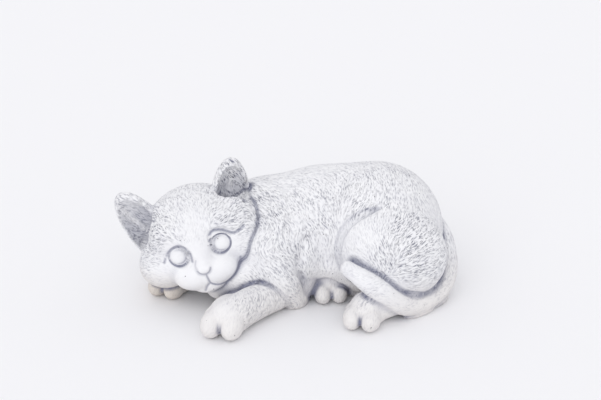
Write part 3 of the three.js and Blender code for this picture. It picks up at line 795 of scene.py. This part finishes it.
RELIEF_SIZES = {
    "Stroke Depth": ("NodeSocketFloat", 0.5 * MM),
    "Lock Share": ("NodeSocketFloat", 1.1),
    "Tuft": ("NodeSocketFloat", TUFT),
    "Stroke Spacing": ("NodeSocketVector", CARVED_SPACING),
    "Stroke Shape": ("NodeSocketVector", CARVED_SHAPE),
    "Lock Tuft": ("NodeSocketFloat", LOCK_TUFT),
    "Lock Spacing": ("NodeSocketVector", LOCK_SPACING),
    "Lock Shape": ("NodeSocketVector", LOCK_SHAPE),
    "Seed": ("NodeSocketInt", SEED),
}


def fur_relief_tree():
    """Geometry nodes that cut the strokes and locks of the fur into the mesh."""
    tree = bpy.data.node_groups.new("carved fur", "GeometryNodeTree")
    tree.interface.new_socket("Geometry", in_out="INPUT", socket_type="NodeSocketGeometry")
    for name, (kind, size) in RELIEF_SIZES.items():
        tree.interface.new_socket(name, in_out="INPUT", socket_type=kind).default_value = size
    tree.interface.new_socket("Stone", in_out="INPUT", socket_type="NodeSocketMaterial")
    tree.interface.new_socket("Geometry", in_out="OUTPUT", socket_type="NodeSocketGeometry")
    source = add(tree, "NodeGroupInput").outputs
    position = add(tree, "GeometryNodeInputPosition").outputs[0]
    place = add(tree, VECTOR_MATH, {0: position, 3: 1 / MM}, operation="SCALE").outputs[0]
    seeded = add(tree, MATH, (source["Seed"], SEED_STEP), operation="MULTIPLY").outputs[0]
    start = add(tree, VECTOR_MATH, (place, seeded), operation="ADD").outputs[0]
    flow, across, fur = (
        add(tree, "GeometryNodeInputNamedAttribute", {"Name": name}, data_type=kind).outputs[0]
        for name, kind in (
            ("fur_flow", "FLOAT_VECTOR"),
            ("fur_across", "FLOAT_VECTOR"),
            ("fur_depth", "FLOAT"),
        )
    )
    tuft, spacing, shape = source["Tuft"], source["Stroke Spacing"], source["Stroke Shape"]
    stroke = strokes(tree, start, flow, across, tuft, spacing, shape)
    tuft, spacing, shape = source["Lock Tuft"], source["Lock Spacing"], source["Lock Shape"]
    lock = strokes(tree, start, flow, across, tuft, spacing, shape)
    both = add(tree, MATH, (lock, source["Lock Share"], stroke), operation="MULTIPLY_ADD").outputs[0]
    furred = add(tree, MATH, (both, fur), operation="MULTIPLY").outputs[0]
    deep = add(tree, MATH, (furred, source["Stroke Depth"]), operation="MULTIPLY").outputs[0]
    inward = add(tree, MATH, (deep, -1.0), operation="MULTIPLY").outputs[0]
    normal = add(tree, "GeometryNodeInputNormal").outputs[0]
    shift = add(tree, VECTOR_MATH, {0: normal, 3: inward}, operation="SCALE").outputs[0]
    inputs = {"Geometry": source["Geometry"], "Offset": shift}
    carved = add(tree, "GeometryNodeSetPosition", inputs).outputs[0]
    real = add(tree, "GeometryNodeRealizeInstances", {"Geometry": carved}).outputs[0]
    inputs = {"Geometry": real, "Material": source["Stone"]}
    dressed = add(tree, "GeometryNodeSetMaterial", inputs).outputs[0]
    add(tree, "NodeGroupOutput", {"Geometry": dressed})
    return tree


# The stone's patterns: how many of them go to a millimetre, and how fine their detail is. The wash and the
# painted shade in the strokes have patches of about 9 mm and the stone a mottle of about 11 mm. The
# cement's own grain is too fine to show, so it is drawn about 0.6 mm wide.
PATCHES = (0.11, 2.0)
MOTTLE = (0.09, 4.0)
GRAIN = (1.6, 3.0)
PINHOLE_CELL = 3.2
LOCK_WASH_AND_SHADE = 0.12


def stone_wash_and_shade(colours):
    """Cast stone: cement and marble dust cast in a mould, matt and slightly mottled, with pinholes where
    air was caught, painted dark inside as shade, and a thin blue-grey wash that was wiped off again and
    stays in what is carved, laid together with painted shade in creases, lines and strokes."""
    material = bpy.data.materials.new("cast_stone_wash_and_shade")
    material.use_nodes = True
    tree = material.node_tree
    tree.nodes.clear()
    coordinates = add(tree, "ShaderNodeTexCoord").outputs["Object"]
    place = add(tree, VECTOR_MATH, {0: coordinates, 3: 1 / MM}, operation="SCALE").outputs[0]
    seeded = (SEED * SEED_STEP,) * 3
    start = add(tree, VECTOR_MATH, (place, seeded), operation="ADD").outputs[0]
    patches, mottle, grain = (
        add(tree, "ShaderNodeTexNoise", {"Vector": place, "Scale": scale, "Detail": detail}).outputs[0]
        for scale, detail in (PATCHES, MOTTLE, GRAIN)
    )
    flow, across = (
        add(tree, "ShaderNodeAttribute", attribute_name=name).outputs["Vector"]
        for name in ("fur_flow", "fur_across")
    )
    fur, hollow = (
        add(tree, "ShaderNodeAttribute", attribute_name=name).outputs["Fac"]
        for name in ("fur_depth", "hollow")
    )
    carved = strokes(tree, start, flow, across, TUFT, CARVED_SPACING, PAINTED_STROKE_SHAPE)
    fine = strokes(tree, place, flow, across, FINE_TUFT, FINE_SPACING, FINE_SHAPE)
    lock = strokes(tree, start, flow, across, LOCK_TUFT, LOCK_SPACING, LOCK_SHAPE)
    either = add(tree, MATH, (carved, fine), operation="MAXIMUM").outputs[0]
    cut = add(tree, MATH, (either, fur), operation="MULTIPLY").outputs[0]
    # the wash and painted shade lie in the strokes and under the locks, thicker in some patches than in
    # others
    patchy = add(tree, MAP_RANGE, (patches, 0.35, 0.62, 0.3, 1.15)).outputs[0]
    locks = add(tree, MATH, (lock, fur), operation="MULTIPLY").outputs[0]
    thin = add(tree, MATH, (locks, LOCK_WASH_AND_SHADE), operation="MULTIPLY").outputs[0]
    laid = add(tree, MATH, (cut, thin), operation="ADD").outputs[0]
    in_strokes = add(tree, MATH, (laid, patchy), operation="MULTIPLY").outputs[0]
    # painted shade in creases, from how hollow each point is
    crease_wash_and_shade = add(tree, MAP_RANGE, (hollow, 0.18, 0.85, 0.0, 0.85)).outputs[0]
    shaded_wash = add(tree, MATH, (crease_wash_and_shade, in_strokes), operation="ADD", use_clamp=True).outputs[0]
    # a beige tone with painted shade low down, most of all on the paw in the head's shadow
    x, _, z = add(tree, SEPARATE, (place,)).outputs
    low_down = add(tree, MAP_RANGE, (z, 34.0, 6.0, 0.0, 0.4)).outputs[0]
    at_paw = add(tree, MAP_RANGE, (x, -66.0, -80.0, 1.0, 2.3)).outputs[0]
    warmed_and_shaded = add(tree, MATH, (low_down, at_paw), operation="MULTIPLY", use_clamp=True).outputs[0]
    # pinholes: a few of the cells hold one, each of its own size, and its inside is painted dark as shade
    hole = add(tree, VORONOI, {"Vector": place, "Scale": 1 / PINHOLE_CELL})
    chance = add(tree, SEPARATE, (hole.outputs["Color"],)).outputs[0]
    size = add(tree, MAP_RANGE, (chance, 0.72, 1.0, 0.0, 0.13)).outputs[0]
    inside = add(tree, MATH, (hole.outputs["Distance"], size), operation="LESS_THAN").outputs[0]
    toned = linear(colours.stone)
    layers = (
        (mottle, colours.stone_shade),
        (warmed_and_shaded, colours.warm_shade),
        (shaded_wash, colours.wash_and_shade),
        (inside, colours.pinhole_shade),
    )
    for share, colour in layers:
        inputs = {"Factor": share, 6: toned, 7: linear(colour)}
        toned = add(tree, "ShaderNodeMix", inputs, data_type="RGBA").outputs[2]
    pressed = add(tree, MATH, (cut, -0.9), operation="MULTIPLY").outputs[0]
    rough = add(tree, MATH, (grain, 0.12, pressed), operation="MULTIPLY_ADD").outputs[0]
    height = add(tree, MATH, (inside, -0.3, rough), operation="MULTIPLY_ADD").outputs[0]
    bump = add(tree, "ShaderNodeBump", {"Height": height, "Distance": MM, "Strength": 0.9}).outputs[0]
    shader = add(
        tree,
        "ShaderNodeBsdfPrincipled",
        {"Base Color": toned, "Roughness": 0.86, "IOR": 1.5, "Specular IOR Level": 0.3, "Normal": bump},
    )
    add(tree, "ShaderNodeOutputMaterial", {"Surface": shader.outputs[0]})
    return material


class CatCarving(bpy.types.PropertyGroup):
    """Sizes of the carving."""

    cell: bpy.props.FloatProperty(
        name="Cell",
        description="Edge of the net's cells, in millimetres; smaller carves finer and makes more faces",
        default=1.14,
        min=0.7,
    )
    stroke_depth: bpy.props.FloatProperty(
        name="Stroke depth",
        description="Depth of the deepest strokes of the fur",
        default=0.5 * MM,
        unit="LENGTH",
    )


class CatStone(bpy.types.PropertyGroup):
    """Colours of the stone, its wash and painted shade, as sRGB hex values."""

    stone: bpy.props.StringProperty(
        name="Stone",
        description="Colour of the clean stone",
        default="#F3F3F4",
    )
    stone_shade: bpy.props.StringProperty(
        name="Mottle",
        description="The mottle's darker tone",
        default="#E6E6EA",
    )
    # a beige tone, darker as painted shade, low down and on the paw under the head
    warm_shade: bpy.props.StringProperty(
        name="Warm",
        description="The beige low down",
        default="#DCD3C9",
    )
    # the wash's colour, which also lays painted shade in creases, lines and strokes
    wash_and_shade: bpy.props.StringProperty(
        name="Wash",
        description="The wash in what is carved",
        default="#777A90",
    )
    # painted shade inside the pinholes
    pinhole_shade: bpy.props.StringProperty(
        name="Pinhole",
        description="The inside of a pinhole",
        default="#6E6A70",
    )


class CatStage(bpy.types.PropertyGroup):
    """The studio: its camera and light."""

    lens: bpy.props.FloatProperty(name="Lens", description="Focal length", default=85.0, unit="CAMERA")
    elevation: bpy.props.FloatProperty(
        name="Elevation",
        description="The camera's height above the horizon",
        default=math.radians(25),
        subtype="ANGLE",
    )
    distance: bpy.props.FloatProperty(
        name="Distance",
        description="From the camera to what it looks at",
        default=0.993,
        unit="LENGTH",
    )
    sky_strength: bpy.props.FloatProperty(
        name="Sky",
        description="Strength of the light all round",
        default=0.94,
    )
    key_power: bpy.props.FloatProperty(
        name="Key light",
        description="Strength of the key light",
        default=0.8,
    )


class OBJECT_OT_cat_carving(bpy.types.Operator):
    """Makes the carved cat in washed stone with painted shade, in place of the plain solid"""

    bl_idname = "object.cat_carving"
    bl_label = "Carve the cat"

    def execute(self, context):
        sizes = context.scene.cat_carving
        mesh = skin_of(NODE, sizes.cell)
        flatten_base(mesh, 0.45 * sizes.cell * MM)
        refine(mesh, wants_detail)
        p = np.empty(len(mesh.vertices) * 3)
        mesh.vertices.foreach_get("co", p)
        p = p.reshape(-1, 3) / MM + DRAWING_MIDDLE
        base = p[:, 2] < 1e-4
        form = figure_form()
        p = onto(form, p)
        for _ in range(2):
            p = onto(form, evened(mesh, p, ~base), 1)
        p[base, 2] = 0
        _, rise = slopes(form, p)
        normal = rise / np.maximum(np.linalg.norm(rise, axis=1), 1e-9)[:, None]
        low, high = (np.array(c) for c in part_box(NODE))
        points = np.clip((p - DRAWING_MIDDLE) * MM, low, high)
        mesh.vertices.foreach_set("co", points.ravel())
        flow, depth = fur_at(p, normal)
        set_attribute(mesh, "fur_flow", "FLOAT_VECTOR", flow)
        set_attribute(mesh, "fur_across", "FLOAT_VECTOR", np.cross(normal, flow))
        q = in_head(p)
        depth = bared(q, depth)
        depth[base] = 0
        set_attribute(mesh, "fur_depth", "FLOAT", depth)
        # the wash and painted shade: darkest deep in creases, in the face's lines and in the ears' cups
        wash_and_shade = np.maximum(np.maximum(hollowness(form, p, normal), line_wash_and_shade(q)), cup_wash_and_shade(q))
        set_attribute(mesh, "hollow", "FLOAT", wash_and_shade)
        mesh.shade_smooth()
        mesh.update()
        cat = bpy.data.objects.new("cat_carving", mesh)
        context.scene.collection.objects.link(cat)
        stone = stone_wash_and_shade(context.scene.cat_stone)
        relief = cat.modifiers.new("fur", "NODES")
        relief.node_group = fur_relief_tree()
        items = relief.node_group.interface.items_tree
        sockets = {item.name: item.identifier for item in items if item.in_out == "INPUT"}
        relief[sockets["Stroke Depth"]] = sizes.stroke_depth
        for name in list(RELIEF_SIZES)[1:]:
            relief[sockets[name]] = RELIEF_SIZES[name][1]
        relief[sockets["Stone"]] = stone
        made = bpy.data.meshes.new_from_object(cat.evaluated_get(context.evaluated_depsgraph_get()))
        cat.modifiers.clear()
        cat.data = made
        made.name = "cat_carving"
        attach(cat, BODY)
        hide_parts(NODE)
        return {"FINISHED"}

# the studio
FLOOR_WIDTH = 12
PAPER_COLOUR = "#F2F2F4"
SKY_COLOUR = "#F7F7F9"
KEY_SPREAD = 60  # how wide the key light is seen, in degrees: wide, so its shadows are soft
KEY_FROM = (-0.3, -1.0, 0.8)
LOOK_AT = (0.0092, 0.0032, 0.077)
SENSOR_WIDTH = 36


class OBJECT_OT_cat_stage(bpy.types.Operator):
    """Makes the floor, the light and the camera"""

    bl_idname = "object.cat_stage"
    bl_label = "Set the studio"

    def execute(self, context):
        scene = context.scene
        settings = scene.cat_stage
        bpy.ops.mesh.primitive_plane_add(size=FLOOR_WIDTH)
        floor = context.object
        floor.name = "floor"
        # matt seamless paper: an even pale ground that takes a soft shadow and shows no gloss
        paper = bpy.data.materials.new("studio_paper")
        paper.use_nodes = True
        shader = paper.node_tree.nodes["Principled BSDF"]
        shader.inputs["Base Color"].default_value = linear(PAPER_COLOUR)
        shader.inputs["Roughness"].default_value = 0.9
        floor.data.materials.append(paper)
        world = bpy.data.worlds.new("studio")
        scene.world = world
        world.use_nodes = True
        sky = world.node_tree.nodes["Background"]
        sky.inputs["Color"].default_value = linear(SKY_COLOUR)
        sky.inputs["Strength"].default_value = settings.sky_strength
        scene.view_settings.view_transform = "Standard"
        lamp = bpy.data.lights.new("key", "SUN")
        lamp.angle = math.radians(KEY_SPREAD)
        lamp.energy = settings.key_power
        key = bpy.data.objects.new("key", lamp)
        key.rotation_euler = Vector(KEY_FROM).to_track_quat("Z", "Y").to_euler()
        scene.collection.objects.link(key)
        camera = bpy.data.objects.new("camera", bpy.data.cameras.new("camera"))
        camera.data.lens = settings.lens
        camera.data.sensor_width = SENSOR_WIDTH
        back = Vector((0, -math.cos(settings.elevation), math.sin(settings.elevation)))
        camera.location = Vector(LOOK_AT) + back * settings.distance
        camera.rotation_euler = (-back).to_track_quat("-Z", "Y").to_euler()
        scene.collection.objects.link(camera)
        scene.camera = camera
        return {"FINISHED"}


class VIEW3D_PT_stone_cat(bpy.types.Panel):
    """The cat's sizes, colours and operators"""

    bl_idname = "VIEW3D_PT_stone_cat"
    bl_label = "Stone Cat"
    bl_space_type = "VIEW_3D"
    bl_region_type = "UI"
    bl_category = "Stone Cat"

    def draw(self, context):
        layout = self.layout
        for group in (context.scene.cat_carving, context.scene.cat_stone, context.scene.cat_stage):
            for name in group.__annotations__:
                layout.prop(group, name)
        for operator in (OBJECT_OT_cat_carving, OBJECT_OT_cat_stage):
            layout.operator(operator.bl_idname)


GROUPS = {"cat_carving": CatCarving, "cat_stone": CatStone, "cat_stage": CatStage}
CLASSES = (*GROUPS.values(), OBJECT_OT_cat_carving, OBJECT_OT_cat_stage, VIEW3D_PT_stone_cat)


def register():
    for cls in CLASSES:
        bpy.utils.register_class(cls)
    for name, group in GROUPS.items():
        setattr(bpy.types.Scene, name, bpy.props.PointerProperty(type=group))


def unregister():
    for name in GROUPS:
        delattr(bpy.types.Scene, name)
    for cls in reversed(CLASSES):
        bpy.utils.unregister_class(cls)


def main():
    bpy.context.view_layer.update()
    register()
    bpy.ops.object.cat_stage()
    bpy.ops.object.cat_carving()


if __name__ == "__main__":
    main()
